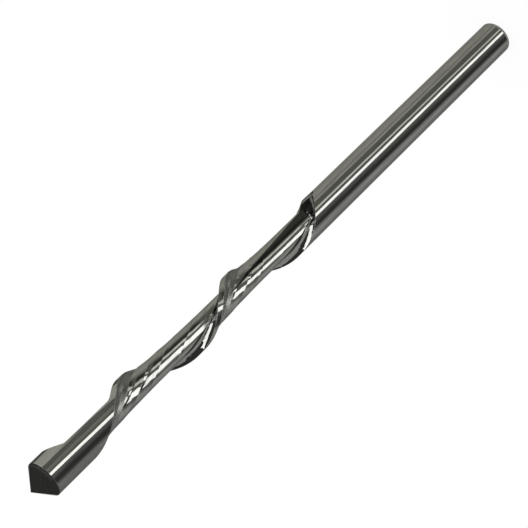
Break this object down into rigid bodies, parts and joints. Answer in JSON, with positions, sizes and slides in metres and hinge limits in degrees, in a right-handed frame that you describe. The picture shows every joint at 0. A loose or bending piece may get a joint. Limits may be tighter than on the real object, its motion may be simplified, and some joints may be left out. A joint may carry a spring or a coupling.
{
  "type": "wood drill bit",
  "caption": "Slim solid steel spiral bit with a plain round shank, a left-hand spiral flute and a plain conical guide point, for cutting wood and board.",
  "frame": {"origin": "centre of the flat shank end, on the bit's axis", "axes": "+Z along the bit's axis from the shank end to the point; -Y is the side that faces the picture's camera"},
  "size_m": [0.0032, 0.0032, 0.0635],
  "materials": {
    "steel": "ground"
  },
  "bodies": {
    "root": {"drill_bit": "steel"}
  },
  "joints": []
}
